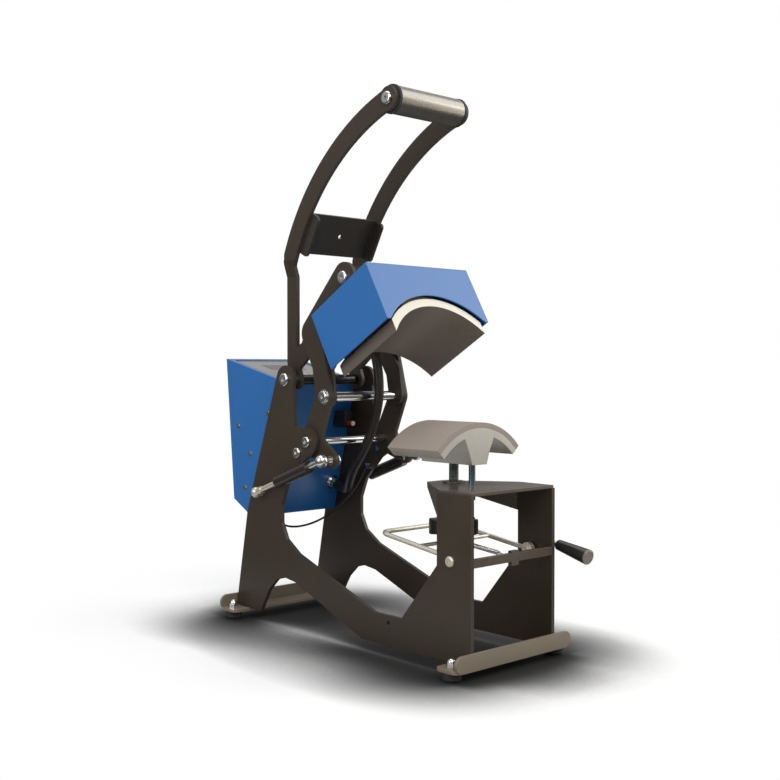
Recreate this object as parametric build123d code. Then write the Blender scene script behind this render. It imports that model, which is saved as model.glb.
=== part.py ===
"""Cap heat press: an auto-opening clamshell press with a curved platen, in millimetres.

X runs across the press, Y from front to rear, Z up. Z is 0 on the floor and X is 0 midway between the
side plates. The model is laid out with Y measured from the front edge of the side plates, and each piece
is moved when it is saved, so that the origin lies on the floor midway between the front and rear feet.
"""
from build123d import *
from math import atan2, cos, degrees, hypot, pi, radians, sin, sqrt, tan
import os

# ---------------------------------------------------------------- driving dimensions
# stations from the front edge, and heights
PLATE_T = 6.0            # side plate thickness
FRAME_W = 162.0          # over the outer faces of the side plates
PLATE_BOTTOM = 15.0      # underside of the side plates
UPRIGHT_TOP = 227.0      # top of the front uprights
UPRIGHT_DEPTH = 59.5     # front uprights, front to rear
PLATE_FRONT = 5.0        # front edge of the side plates
PLATE_REAR = 510.0       # rear bottom corner of the side plates

HANDLE_PIVOT = (384.0, 369.0)   # (Y, Z) of the handle's shaft
ARM_PIVOT = (332.0, 279.0)      # the press arms' shaft
TOGGLE_REST = (299.0, 345.0)    # rod that joins arms and toggle links
CRANK_PIN = (348.0, 420.0)      # pins that join handle and toggle links
HEAD_PIVOT = (257.0, 513.0)     # bolts that the head hangs from
BAIL_PIVOT = (40.0, 143.0)      # shaft of the cap bail and its lever
GRIP_AXIS = (170.0, 748.0)

SIDE_GAP = 0.5           # gap between plates that move past each other
ARM_T = 6.0
LINK_T = 5.0
CRANK_T = 6.0
FIT = 0.05               # radial running fit
OPEN_PIVOT_GAP = 1.8     # radial play at the toggle rod, where the linkage is left open

PAD_DEPTH = 95.25        # lower platen, front to rear
PAD_FRONT = 66.0
PAD_R = 106.0            # outer radius of the silicone pad
PAD_T = 7.5
PAD_TOP = 314.5
PAD_HALF_CHORD = 78.0

HEAD_TILT = 30.0         # nose-up tilt of the head with the press open
HOOD_W = 194.0
HOOD_D = 135.0
HOOD_H = 88.0
HOOD_SHEET = 2.0
HEAD_DROP = (70.8, 111.3)   # head pivot above the hood's front bottom edge: rearward, up
PLATEN_R = 107.5
PLATEN_T = 12.0
PLATEN_D = 124.0
PLATEN_HALF = 85.0
PLATEN_RISE = 25.0       # top of the platen's inner curve above the hood's bottom edge

BOX_W = 148.0            # control box between the side plates
BOX_SHEET = 1.5
FOOT_HALF = 110.0        # foot bars, centre to end
FOOT_H = 22.0
FOOT_D = 40.0
FOOT_T = 4.0
FOOT_GAP = 0.05          # fit between a foot bar's upright wall and the plates' edges
RUBBER_R = 12.5
RUBBER_H = 11.0
RUBBER_X = FOOT_HALF - 12.0
RUBBER_INSET = 20.0

# ---------------------------------------------------------------- derived stations
PLATE_OUT = FRAME_W / 2
PLATE_IN = PLATE_OUT - PLATE_T
ARM_OUT = PLATE_IN - SIDE_GAP
ARM_IN = ARM_OUT - ARM_T
LINK_OUT = ARM_IN - SIDE_GAP
LINK_IN = LINK_OUT - LINK_T
CRANK_OUT = LINK_IN - SIDE_GAP
CRANK_IN = CRANK_OUT - CRANK_T
FRONT_FOOT_Y = PLATE_FRONT - FOOT_GAP - FOOT_T + RUBBER_INSET
REAR_FOOT_Y = PLATE_REAR + FOOT_GAP + FOOT_T - RUBBER_INSET
MID_Y = 250.625          # middle of the overall depth, from the lever's tip to the control box

os.makedirs("parts", exist_ok=True)
SIDES = (("left", -1), ("right", 1))


def save(name, *solids):
    """Write one node, made of the given separate solids, moved so that the origin is under the middle."""
    pieces = []
    for s in solids:
        pieces += list(s.solids())
    shape = pieces[0] if len(pieces) == 1 else Compound(children=pieces)
    export_step(Pos(0, -MID_Y, 0) * shape, f"parts/{name}.step")


def side_face(face):
    """Turn a sketch drawn with x = Y and y = Z into the plane of the side plates."""
    return Plane.YZ * face


def slab(face, x0, x1):
    """A side-plane sketch, given thickness from x0 to x1 across the press."""
    lo, hi = min(x0, x1), max(x0, x1)
    return Pos(lo, 0, 0) * extrude(side_face(face), hi - lo)


def disc(at, r):
    return Pos(*at) * Circle(r)


def bar(a, ra, b, rb):
    """A straight bar with round ends of radius ra at a and rb at b."""
    return make_hull(disc(a, ra).edges() + disc(b, rb).edges())


def chain(*points):
    """Bars joined end to end through (y, z, radius) points."""
    face = None
    for (y0, z0, r0), (y1, z1, r1) in zip(points, points[1:]):
        piece = bar((y0, z0), r0, (y1, z1), r1)
        face = piece if face is None else face + piece
    return face


def poly(*pts):
    return make_face(Polyline(*pts, close=True))


def rod(at, r, x0, x1):
    """A round rod across the press."""
    return slab(disc(at, r), x0, x1)


def dome(at, r, h, x, out):
    """A domed button head of radius r and height h that sits at x and faces out (-1 or 1)."""
    head = slab(disc(at, r), x, x + out * h)
    rim = [e for e in head.edges().filter_by(GeomType.CIRCLE) if abs(e.center().X - (x + out * h)) < 1e-6]
    head = fillet(rim, h * 0.6)
    socket = slab(Pos(*at) * RegularPolygon(r * 0.32, 6), x + out * h * 0.5, x + out * (h + 1))
    return head - socket


def turned(point, pivot, angle):
    """A (Y, Z) point after a turn of angle degrees, nose down, about pivot."""
    a = radians(angle)
    dy, dz = point[0] - pivot[0], point[1] - pivot[1]
    return (pivot[0] + dy * cos(a) - dz * sin(a), pivot[1] + dy * sin(a) + dz * cos(a))


# ---------------------------------------------------------------- side plates
EAR_R = 21.0
LOBE_R = 21.5
POCKET = (334.0, 335.0, 33.0)     # hollow between ear and lobe that lets the toggle rod's bolts swing
SECOND_BOLT = (354.0, 262.0)
RAIL = [(131.0, 55.5), (184.0, 55.5), (352.0, 113.5)]
ARCH = [(211.0, PLATE_BOTTOM), (358.0, 71.0), (447.0, PLATE_BOTTOM)]
SHAFT_R = 5.0
ARM_SHAFT_R = 5.5
ear_back = (HANDLE_PIVOT[0] + EAR_R * 0.957, HANDLE_PIVOT[1] + EAR_R * 0.29)
outline = poly(
    (PLATE_FRONT, PLATE_BOTTOM), (PLATE_FRONT, UPRIGHT_TOP),
    (PLATE_FRONT + UPRIGHT_DEPTH, UPRIGHT_TOP), (PLATE_FRONT + UPRIGHT_DEPTH, 135.0),
    RAIL[0], RAIL[1], RAIL[2], (381.0, 132.0), (393.5, 156.0), (393.5, 182.0), (381.0, 212.0), (346.0, 248.0),
    (ARM_PIVOT[0] - 8.0, ARM_PIVOT[1] - 19.0), (ARM_PIVOT[0] + 6.0, ARM_PIVOT[1] + 19.0), (362.0, 302.0),
    (HANDLE_PIVOT[0] - 18.0, HANDLE_PIVOT[1] - 10.0), ear_back,
    (480.5, 166.0), (PLATE_REAR, PLATE_BOTTOM), ARCH[2], (424.0, 52.0), (405.0, 69.0), (384.0, 74.5), ARCH[1], ARCH[0])
outline = outline + disc(HANDLE_PIVOT, EAR_R) + disc(ARM_PIVOT, LOBE_R)
outline = outline - disc(POCKET[:2], POCKET[2] - 3.0)
plate_holes = [(HANDLE_PIVOT, SHAFT_R), (ARM_PIVOT, ARM_SHAFT_R), (SECOND_BOLT, 4.0), (BAIL_PIVOT, 4.0 + FIT),
               ((156.0, 45.0), 3.0)]
for at, r in plate_holes:
    outline = outline - disc(at, r)
for side, s in SIDES:
    save(f"side_plate_{side}", slab(outline, s * PLATE_IN, s * PLATE_OUT))

# ---------------------------------------------------------------- feet
STUD_R = 4.0
foot_floor = RUBBER_H


def foot_bar(y_out, inward):
    """L-shaped foot bar: y_out is its outer face, inward (1 or -1) points under the press."""
    flat = Pos(0, y_out + inward * FOOT_D / 2, foot_floor + FOOT_T / 2) * Box(2 * FOOT_HALF, FOOT_D, FOOT_T)
    face = Rectangle(2 * (FOOT_HALF - FOOT_H / 2), FOOT_H)
    for e in (-1, 1):
        face = face + Pos(e * (FOOT_HALF - FOOT_H / 2), 0) * Circle(FOOT_H / 2)
    wall = Pos(0, y_out + inward * FOOT_T, foot_floor + FOOT_H / 2) * extrude(Plane.XZ * face, inward * FOOT_T)
    corner = fillet(flat.edges().filter_by(Axis.Z), 10.0)
    body = corner + wall
    for e in (-1, 1):
        body = body - Pos(e * RUBBER_X, y_out + inward * RUBBER_INSET, foot_floor) * Cylinder(STUD_R, 3 * FOOT_T)
    return body


front_out = PLATE_FRONT - FOOT_GAP - FOOT_T
rear_out = PLATE_REAR + FOOT_GAP + FOOT_T
save("foot_bars", foot_bar(front_out, 1), foot_bar(rear_out, -1))
feet = []
nuts = []
NUT_R = 7.5
NUT_H = 7.0
for y in (FRONT_FOOT_Y, REAR_FOOT_Y):
    for e in (-1, 1):
        cup = Pos(e * RUBBER_X, y, RUBBER_H / 2) * Cylinder(RUBBER_R, RUBBER_H)
        cup = fillet(cup.edges().group_by(Axis.Z)[0], 2.5)
        feet.append(cup + Pos(e * RUBBER_X, y, RUBBER_H + FOOT_T / 2) * Cylinder(STUD_R, FOOT_T))
        nut = extrude(RegularPolygon(NUT_R, 6), NUT_H)
        cap = Pos(0, 0, NUT_H) * Sphere(NUT_R * 0.78)
        cap = cap & (Pos(0, 0, NUT_H + NUT_R) * Box(3 * NUT_R, 3 * NUT_R, 2 * NUT_R))
        nuts.append(Pos(e * RUBBER_X, y, foot_floor + FOOT_T) * (nut + cap))
save("rubber_feet", *feet)
save("foot_nuts", *nuts)

# ---------------------------------------------------------------- top plate and front cross bar
TOP_T = 4.0
TOP_LAP = 3.0            # how far the top plate lies over each upright
TOP_HALF = PLATE_IN + TOP_LAP
NOSE_HALF = 15.0
NOSE_Y = 150.0
FLANGE_DEEP = 35.0
FLANGE_T = 3.0
POST_Y = PAD_FRONT + PAD_DEPTH / 2
POST_R = 6.5
GUIDE_Y = POST_Y - 34.0
GUIDE_R = 4.5
TOP_Z = UPRIGHT_TOP + TOP_T
upright_rear = PLATE_FRONT + UPRIGHT_DEPTH
flange_y = upright_rear + 0.5
hexagon = poly((-TOP_HALF, PLATE_FRONT), (TOP_HALF, PLATE_FRONT), (TOP_HALF, upright_rear), (NOSE_HALF, NOSE_Y),
               (-NOSE_HALF, NOSE_Y), (-TOP_HALF, upright_rear))
top = Pos(0, 0, UPRIGHT_TOP) * extrude(hexagon, TOP_T)
run = Vector(TOP_HALF - NOSE_HALF, NOSE_Y - upright_rear)
for e in (-1, 1):
    # a folded flange below each slanting edge, deep at the upright and running out at the nose
    lean = degrees(atan2(run.Y, run.X))
    face = poly((0, 0), (run.length - 1.0, 0), (run.length - 1.0, -3.0), (0, -FLANGE_DEEP))
    flange = extrude(Plane.XZ * face, FLANGE_T)
    flange = Pos(NOSE_HALF + run.X, upright_rear, UPRIGHT_TOP) * Rot(0, 0, 180 - lean) * Pos(0, FLANGE_T, 0) * flange
    flange = flange & (Pos(0, flange_y + 100.0, UPRIGHT_TOP - 50.0) * Box(400, 200, 100))
    top = top + (flange if e == 1 else flange.mirror(Plane.YZ))
top = top - Pos(0, POST_Y, UPRIGHT_TOP) * Cylinder(POST_R + FIT, 40)
top = top - Pos(0, GUIDE_Y, UPRIGHT_TOP) * Cylinder(GUIDE_R + FIT, 40)
BUSH_R = 15.0
BUSH_H = 3.0
bush = Pos(0, POST_Y, TOP_Z + BUSH_H / 2) * Cylinder(BUSH_R, BUSH_H)
bush = fillet(bush.edges().group_by(Axis.Z)[-1], 1.4)
save("top_plate", top + (bush - Pos(0, POST_Y, TOP_Z) * Cylinder(POST_R + FIT, 20)))
CROSS_BAR_T = 6.0
CROSS_BAR_H = 11.0
CROSS_BAR_Z = 143.5
TAB_X = 2.0
TAB_W = 14.0
TAB_H = 19.0
cross = Pos(0, PLATE_FRONT + CROSS_BAR_T / 2, CROSS_BAR_Z) * Box(2 * PLATE_IN, CROSS_BAR_T, CROSS_BAR_H)
tab = Pos(TAB_X, PLATE_FRONT + CROSS_BAR_T / 2, CROSS_BAR_Z - 1.0) * Box(TAB_W, CROSS_BAR_T, TAB_H)
save("cross_bar", cross + tab)

# ---------------------------------------------------------------- shafts and bolts of the frame
SPACER_R = 8.0
handle_shaft = rod(HANDLE_PIVOT, SHAFT_R, -PLATE_OUT, PLATE_OUT)
for side, s in SIDES:
    # shoulders that hold the handle's arms away from the side plates
    handle_shaft = handle_shaft + rod(HANDLE_PIVOT, SPACER_R, s * (CRANK_OUT + 0.3), s * PLATE_IN)
save("pivot_shafts", handle_shaft, rod(ARM_PIVOT, ARM_SHAFT_R, -PLATE_OUT, PLATE_OUT))
HEAD_BIG = (9.8, 4.5)
HEAD_SMALL = (8.2, 4.0)
bolts = []
for side, s in SIDES:
    bolts.append(dome(HANDLE_PIVOT, *HEAD_BIG, s * PLATE_OUT, s))
    bolts.append(dome(ARM_PIVOT, *HEAD_SMALL, s * PLATE_OUT, s))
    stop = dome(SECOND_BOLT, *HEAD_SMALL, s * PLATE_OUT, s) + rod(SECOND_BOLT, 4.0, s * PLATE_OUT, s * PLATE_IN)
    bolts.append(stop)
save("frame_bolts", *bolts)

# ---------------------------------------------------------------- lower platen
pad_centre = PAD_TOP - PAD_R
AL_R = PAD_R - PAD_T
AL_WALL = 9.0
BOSS_HALF = 14.0
BOSS_BOTTOM = 258.5
half_angle = degrees(atan2(PAD_HALF_CHORD, sqrt(PAD_R ** 2 - PAD_HALF_CHORD ** 2)))


def sector(r_in, r_out, half):
    """A ring sector about the origin that spans half degrees each side of straight up."""
    ring = Circle(r_out) - Circle(r_in)
    reach = 2 * r_out
    a = radians(half)
    wedge = poly((0, 0), (-reach * sin(a), reach * cos(a)), (-reach, 3 * reach), (reach, 3 * reach),
                 (reach * sin(a), reach * cos(a)))
    return ring & wedge


def curved(face, y0, depth, z):
    """An XZ sketch drawn about a curve's centre at height z, extruded rearward from y0."""
    return Pos(0, y0 + depth, z) * extrude(Plane.XZ * face, depth)


save("silicone_pad", curved(sector(AL_R, PAD_R, half_angle), PAD_FRONT, PAD_DEPTH, pad_centre))
shell = sector(AL_R - AL_WALL, AL_R, half_angle)
boss_low = BOSS_BOTTOM - pad_centre
flare = AL_R - AL_WALL
rib = poly((-BOSS_HALF, boss_low), (BOSS_HALF, boss_low), (BOSS_HALF + 5, boss_low + 16),
           (BOSS_HALF + 17, flare + 3), (-BOSS_HALF - 17, flare + 3), (-BOSS_HALF - 5, boss_low + 16))
casting = curved((shell + (rib & Circle(AL_R - 0.5))), PAD_FRONT, PAD_DEPTH, pad_centre)
SOCKET_DEEP = 14.0
casting = casting - Pos(0, POST_Y, BOSS_BOTTOM + SOCKET_DEEP / 2) * Cylinder(POST_R + FIT, SOCKET_DEEP)
casting = casting - Pos(0, GUIDE_Y, BOSS_BOTTOM + SOCKET_DEEP / 2) * Cylinder(GUIDE_R, SOCKET_DEEP)
save("lower_platen", casting)
GUIDE_BELOW = 16.0
guide_low = UPRIGHT_TOP - GUIDE_BELOW
guide_len = BOSS_BOTTOM + SOCKET_DEEP - guide_low
save("guide_pin", Pos(0, GUIDE_Y, guide_low + guide_len / 2) * Cylinder(GUIDE_R, guide_len))

# ---------------------------------------------------------------- pressure screw and knob
KNOB_R = 33.5
KNOB_H = 20.0
KNOB_TOP = 183.0
KNOB_LOBES = 5
screw_top = BOSS_BOTTOM + SOCKET_DEEP
screw_low = KNOB_TOP - KNOB_H + 4.0
save("pressure_screw", Pos(0, POST_Y, (screw_top + screw_low) / 2) * Cylinder(POST_R, screw_top - screw_low))
knob = Circle(KNOB_R)
for i in range(KNOB_LOBES):
    a = 2 * pi * (i + 0.5) / KNOB_LOBES
    knob = knob - Pos((KNOB_R + 7) * cos(a), (KNOB_R + 7) * sin(a)) * Circle(14.0)
knob = extrude(knob, KNOB_H)
knob = fillet(knob.edges().group_by(Axis.Z)[-1], 2.0)
knob = Pos(0, POST_Y, KNOB_TOP - KNOB_H) * knob
save("pressure_knob", knob - Pos(0, POST_Y, (screw_low + 200.0) / 2 + 50) * Cylinder(POST_R, 300.0 - screw_low))

# ---------------------------------------------------------------- cap bail, its shaft and lever
BAIL_X = 68.0
BAIL_R = 3.2
BAIL_REAR = (186.0, 163.0)
INNER_AT = 0.49          # place of the inner rod along the bail's arms
LEVER_X = 92.0
LEVER_ROD_R = 3.5
corner = 14.0


def across(y, z, x0, x1, r):
    return rod((y, z), r, x0, x1)


path = FilletPolyline((-BAIL_X, *BAIL_PIVOT), (-BAIL_X, *BAIL_REAR), (BAIL_X, *BAIL_REAR), (BAIL_X, *BAIL_PIVOT),
                      radius=corner)
wire = sweep(Plane(origin=path @ 0, z_dir=path % 0) * Circle(BAIL_R), path=path)
inner = (BAIL_PIVOT[0] + (BAIL_REAR[0] - BAIL_PIVOT[0]) * INNER_AT,
         BAIL_PIVOT[1] + (BAIL_REAR[1] - BAIL_PIVOT[1]) * INNER_AT)
wire = wire + across(*inner, -BAIL_X, BAIL_X, BAIL_R * 0.8)
BAIL_SHAFT_R = 4.0
for side, s in SIDES:
    eye = slab(disc(BAIL_PIVOT, 9.0), s * (BAIL_X - BAIL_R), s * (BAIL_X + BAIL_R))
    wire = wire + eye
save("cap_bail", wire - rod(BAIL_PIVOT, BAIL_SHAFT_R, -100, 100))
shaft_end = LEVER_X + 4.0
PIN_IN = 60.0            # the pivot pins end short of the middle, so that the spring can pass between them
near_pin = rod(BAIL_PIVOT, BAIL_SHAFT_R, -PLATE_OUT - 0.3, -PIN_IN) + dome(BAIL_PIVOT, 7.0, 3.5, -PLATE_OUT - 0.3, -1)
save("bail_pins", near_pin, rod(BAIL_PIVOT, BAIL_SHAFT_R, PIN_IN, shaft_end))
LEVER_KNEE = (16.0, 151.5)
GRIP_START = (9.0, 150.0)
GRIP_END = (-44.0, 138.5)
GRIP_RS = (7.0, 10.5)


def along(pivot, direction, a, b, ra, rb, x):
    """A round bar, tapering from ra to rb, from a to b along a (Y, Z) direction through pivot."""
    start = Vector(x, pivot[0] + direction[0] * a, pivot[1] + direction[1] * a)
    plane = Plane(origin=start, z_dir=Vector(0, *direction))
    if abs(ra - rb) < 1e-9:
        return plane * Pos(0, 0, (b - a) / 2) * Cylinder(ra, b - a)
    return plane * Pos(0, 0, (b - a) / 2) * Cone(ra, rb, b - a)


LEVER_HUB = 8.0
grip_long = hypot(GRIP_END[0] - GRIP_START[0], GRIP_END[1] - GRIP_START[1])
grip_dir = ((GRIP_END[0] - GRIP_START[0]) / grip_long, (GRIP_END[1] - GRIP_START[1]) / grip_long)
STEM_DEEP = 30.0
stem_end = (GRIP_START[0] + grip_dir[0] * STEM_DEEP, GRIP_START[1] + grip_dir[1] * STEM_DEEP)
hub = slab(disc(BAIL_PIVOT, LEVER_HUB), LEVER_X - 4.0, LEVER_X + 4.0)
stem_path = FilletPolyline((LEVER_X, *BAIL_PIVOT), (LEVER_X, *LEVER_KNEE), (LEVER_X, *stem_end), radius=12.0)
stem = sweep(Plane(origin=stem_path @ 0, z_dir=stem_path % 0) * Circle(LEVER_ROD_R), path=stem_path)
save("lever_rod", hub + stem - rod(BAIL_PIVOT, BAIL_SHAFT_R, 0, 200))
grip = along(GRIP_START, grip_dir, 0, grip_long, *GRIP_RS, LEVER_X)
grip = fillet(grip.edges().filter_by(GeomType.CIRCLE), 2.5)
save("lever_grip", grip - stem)

# over-centre tension spring from the bail's inner rod to the tab of the cross bar
SPRING_R = 3.2
HOOK_R = 0.8
HOOK_LONG = 22.0
spring_front = Vector(TAB_X, PLATE_FRONT + CROSS_BAR_T, CROSS_BAR_Z)
spring_rear = Vector(TAB_X, inner[0], inner[1])
span = spring_rear - spring_front
reach = span.length - BAIL_R * 0.8 - 0.3
spring_plane = Plane(origin=spring_front, z_dir=span)
coil = spring_plane * Pos(0, 0, (HOOK_LONG + reach - 8.0) / 2) * Cylinder(SPRING_R, reach - 8.0 - HOOK_LONG)
hook = spring_plane * Pos(0, 0, reach / 2) * Cylinder(HOOK_R, reach)
save("bail_spring", coil + hook & (Pos(0, spring_front.Y + 250.0, 150) * Box(50, 500, 200)))

# ---------------------------------------------------------------- press arms, toggle rod and links
ELBOW = (331.0, 437.0)
SHIN = (312.0, 392.0)
TAIL = (284.0, 255.0)
BALL_X = 92.0
TOGGLE_NECK_R = 4.5
TOGGLE_ROD_R = 7.0
HEAD_BOLT_R = 5.0
TAIL_STUD_R = 4.0
arm_face = chain((*HEAD_PIVOT, 22.0), (*ELBOW, 21.0), (*SHIN, 15.5), (TOGGLE_REST[0] + 2.0, TOGGLE_REST[1], 17.0),
                 (*ARM_PIVOT, 20.0), (*TAIL, 12.0))
for at, r in ((HEAD_PIVOT, HEAD_BOLT_R), (TOGGLE_REST, TOGGLE_NECK_R), (ARM_PIVOT, ARM_SHAFT_R + FIT),
              (TAIL, TAIL_STUD_R)):
    arm_face = arm_face - disc(at, r)
for side, s in SIDES:
    save(f"press_arm_{side}", slab(arm_face, s * ARM_IN, s * ARM_OUT))
shoulder = LINK_IN - 0.3
toggle_rod = rod(TOGGLE_REST, TOGGLE_ROD_R, -shoulder, shoulder) + rod(TOGGLE_REST, TOGGLE_NECK_R, -ARM_OUT, ARM_OUT)
head_bolts = []
for side, s in SIDES:
    washer = slab(disc(TOGGLE_REST, 11.0), s * ARM_OUT, s * (ARM_OUT + 1.5))
    toggle_rod = toggle_rod + washer + dome(TOGGLE_REST, 9.0, 4.0, s * (ARM_OUT + 1.5), s)
    shank = rod(HEAD_PIVOT, HEAD_BOLT_R, s * (ARM_IN - SIDE_GAP - 9.0), s * ARM_OUT)
    head_bolts.append(dome(HEAD_PIVOT, 9.5, 4.5, s * ARM_OUT, s) + shank)
save("toggle_rod", toggle_rod)
save("head_pivot_bolts", *head_bolts)

LINK_END_R = 13.5
link_face = chain((*TOGGLE_REST, LINK_END_R + 1.0), (TOGGLE_REST[0] + 6.0, TOGGLE_REST[1] + 36.0, 15.0),
                  (TOGGLE_REST[0] + 24.0, TOGGLE_REST[1] + 62.0, 14.0), (*CRANK_PIN, 12.5))
PIN_R = 4.5
link_face = link_face - disc(TOGGLE_REST, TOGGLE_NECK_R + OPEN_PIVOT_GAP) - disc(CRANK_PIN, PIN_R + FIT)
for side, s in SIDES:
    save(f"toggle_link_{side}", slab(link_face, s * LINK_IN, s * LINK_OUT))

# ---------------------------------------------------------------- handle
HANDLE_OUT = 70.0
HANDLE_IN = HANDLE_OUT - CRANK_T
JOG = (522.0, 546.0)
STEM_Y = 391.0
STEM_R = 11.5
BEND = (386.0, 553.0)
ARC_MID = (296.0, 678.0)
ARC_WIDE = 29.0
END_R = 16.5
stem_face = chain((*HANDLE_PIVOT, 15.0), (STEM_Y, 396.0, STEM_R), (STEM_Y, 540.0, STEM_R), (*BEND, 13.0))
lobe_face = bar(CRANK_PIN, 12.0, (386.0, 396.0), 16.0)
sweep_line = ThreePointArc(BEND, ARC_MID, GRIP_AXIS)
sweep_face = trace(sweep_line, ARC_WIDE)
handle_face = stem_face + lobe_face + sweep_face + disc(BEND, ARC_WIDE / 2) + disc(GRIP_AXIS, END_R)
handle_face = handle_face - disc(HANDLE_PIVOT, SHAFT_R + FIT) - disc(CRANK_PIN, PIN_R) - disc(GRIP_AXIS, 5.0)
for side, s in SIDES:
    blank = slab(handle_face, s * (CRANK_IN - 1), s * (HANDLE_OUT + 1))
    strip = poly((s * CRANK_IN, 300), (s * CRANK_OUT, 300), (s * CRANK_OUT, JOG[0]), (s * HANDLE_OUT, JOG[1]),
                 (s * HANDLE_OUT, 800), (s * HANDLE_IN, 800), (s * HANDLE_IN, JOG[1]), (s * CRANK_IN, JOG[0]))
    strip = Pos(0, 600, 0) * extrude(Plane.XZ * strip, 600)
    save(f"handle_arm_{side}", blank & strip)
TUBE_R = 7.5
tube = disc(HANDLE_PIVOT, TUBE_R) - disc(HANDLE_PIVOT, SHAFT_R + FIT)
save("handle_tube", slab(tube, -CRANK_IN, CRANK_IN))
pins = []
for side, s in SIDES:
    pins.append(rod(CRANK_PIN, PIN_R, s * CRANK_IN, s * LINK_OUT) + rod(CRANK_PIN, 7.5, s * (CRANK_IN - 3), s * CRANK_IN))
save("crank_pins", *pins)
BRACE = ((340.0, 612.0), (370.0, 557.0))   # the cross plate's upper and lower edges
BRACE_T = 4.0
brace_mid = ((BRACE[0][0] + BRACE[1][0]) / 2, (BRACE[0][1] + BRACE[1][1]) / 2)
brace_long = hypot(BRACE[0][0] - BRACE[1][0], BRACE[0][1] - BRACE[1][1])
brace_lean = degrees(atan2(BRACE[0][0] - BRACE[1][0], BRACE[0][1] - BRACE[1][1]))
brace = Box(2 * HANDLE_IN, BRACE_T, brace_long)
for e in (-1, 1):
    ear = Pos(e * (HANDLE_IN - 2.0), -9.0, 0) * Box(4.0, 18.0, brace_long)
    ear = fillet(ear.edges().filter_by(Axis.X).group_by(Axis.Y)[0], 6.0)
    brace = brace + ear
brace = brace - Rot(90, 0, 0) * Cylinder(3.5, 30)
save("handle_brace", Pos(0, *brace_mid) * Rot(-brace_lean, 0, 0) * brace)
GRIP_R = 19.2
RING_T = 3.2
RING_R = 20.0
SPINDLE_R = 5.0
ring_out = HANDLE_IN - 0.4
ring_in = ring_out - RING_T
spindle = rod(GRIP_AXIS, SPINDLE_R, -HANDLE_OUT, HANDLE_OUT)
for side, s in SIDES:
    spindle = spindle + dome(GRIP_AXIS, 9.0, 4.5, s * HANDLE_OUT, s)
save("grip_spindle", spindle)
grip_face = disc(GRIP_AXIS, GRIP_R) - disc(GRIP_AXIS, SPINDLE_R + FIT)
save("handle_grip", slab(grip_face, -ring_in, ring_in))
rings = []
for side, s in SIDES:
    rings.append(slab(disc(GRIP_AXIS, RING_R) - disc(GRIP_AXIS, SPINDLE_R + FIT), s * ring_in, s * ring_out))
save("grip_rings", *rings)

# ---------------------------------------------------------------- gas springs
GAS_LOW = (442.0, 198.0)
ROD_R = 4.0
CYL_R = 9.0
BALL_R = 5.0
BALL_GAP = 2.1           # play in the open upper ball joint
STUD_NECK = 3.0
gas = (TAIL[0] - GAS_LOW[0], TAIL[1] - GAS_LOW[1])
gas_len = hypot(*gas)
gas_dir = (gas[0] / gas_len, gas[1] / gas_len)
CYL_FROM = 58.0
CYL_TO = 138.0
ROD_TO = 70.0
x = BALL_X
stud_low = Pos(x, *GAS_LOW) * Sphere(BALL_R) + rod(GAS_LOW, STUD_NECK, PLATE_OUT, x - 3.0)
stud_low = stud_low + slab(disc(GAS_LOW, 6.0), PLATE_OUT, PLATE_OUT + 2.5)
cup = Pos(x, *GAS_LOW) * Sphere(BALL_R + 3.0)
cup = cup + along(GAS_LOW, gas_dir, BALL_R + 1.0, 16.0, 5.5, 5.5, x)
cup = cup - Pos(x, *GAS_LOW) * Sphere(BALL_R + FIT) - rod(GAS_LOW, BALL_R * 0.86, x, x - 20.0)
gas_rod = cup + along(GAS_LOW, gas_dir, 15.0, ROD_TO, ROD_R, ROD_R, x)
tube = along(GAS_LOW, gas_dir, CYL_FROM, CYL_TO, CYL_R, CYL_R, x)
tube = tube - along(GAS_LOW, gas_dir, CYL_FROM + 6.0, CYL_TO - 8.0, CYL_R - 1.5, CYL_R - 1.5, x)
tube = tube - along(GAS_LOW, gas_dir, CYL_FROM - 1.0, CYL_FROM + 7.0, ROD_R + FIT, ROD_R + FIT, x)
SOCKET_WALL = 2.2
socket_r = BALL_R + BALL_GAP + SOCKET_WALL
socket = Pos(x, *TAIL) * Sphere(socket_r)
socket = socket + along(GAS_LOW, gas_dir, CYL_TO - 1.0, gas_len - BALL_R - 2.0, 5.0, 5.0, x)
socket = socket - Pos(x, *TAIL) * Sphere(BALL_R + BALL_GAP)
# the socket is a cup, open toward the arm, so that the stud's neck can wander in it
socket = socket - rod(TAIL, STUD_NECK + BALL_GAP + 1.5, x - 20.0, x)
gas_tube = tube + socket
tail_stud = Pos(x, *TAIL) * Sphere(BALL_R) + rod(TAIL, STUD_NECK, ARM_OUT, x - 3.0)
tail_stud = tail_stud + slab(disc(TAIL, 6.5), ARM_OUT, ARM_OUT + 2.5)
tail_stud = tail_stud + rod(TAIL, TAIL_STUD_R, ARM_IN - 7.0, ARM_OUT)
tail_stud = tail_stud + slab(Pos(*TAIL) * RegularPolygon(7.5, 6), ARM_IN - 6.0, ARM_IN)
for side, s in SIDES:
    save(f"gas_rod_{side}", gas_rod if s == 1 else gas_rod.mirror(Plane.YZ))
    save(f"gas_tube_{side}", gas_tube if s == 1 else gas_tube.mirror(Plane.YZ))
save("gas_studs", stud_low, stud_low.mirror(Plane.YZ))
save("tail_studs", tail_stud, tail_stud.mirror(Plane.YZ))

# ---------------------------------------------------------------- head, modelled level and then tilted
HEAD_X = HOOD_W / 2
ARCH_GAP = 3.0
SLOT_IN = LINK_IN - 3.0
SLOT_OUT = ARM_OUT + 3.0
SLOT_FROM = 48.0
platen_centre = PLATEN_RISE - PLATEN_R


def place_head(shape):
    """Put a piece modelled from the hood's front bottom edge (Y rearward, Z up) where the open head holds it."""
    return Pos(0, *HEAD_PIVOT) * Rot(-HEAD_TILT, 0, 0) * Pos(0, -HEAD_DROP[0], -HEAD_DROP[1]) * shape


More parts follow.
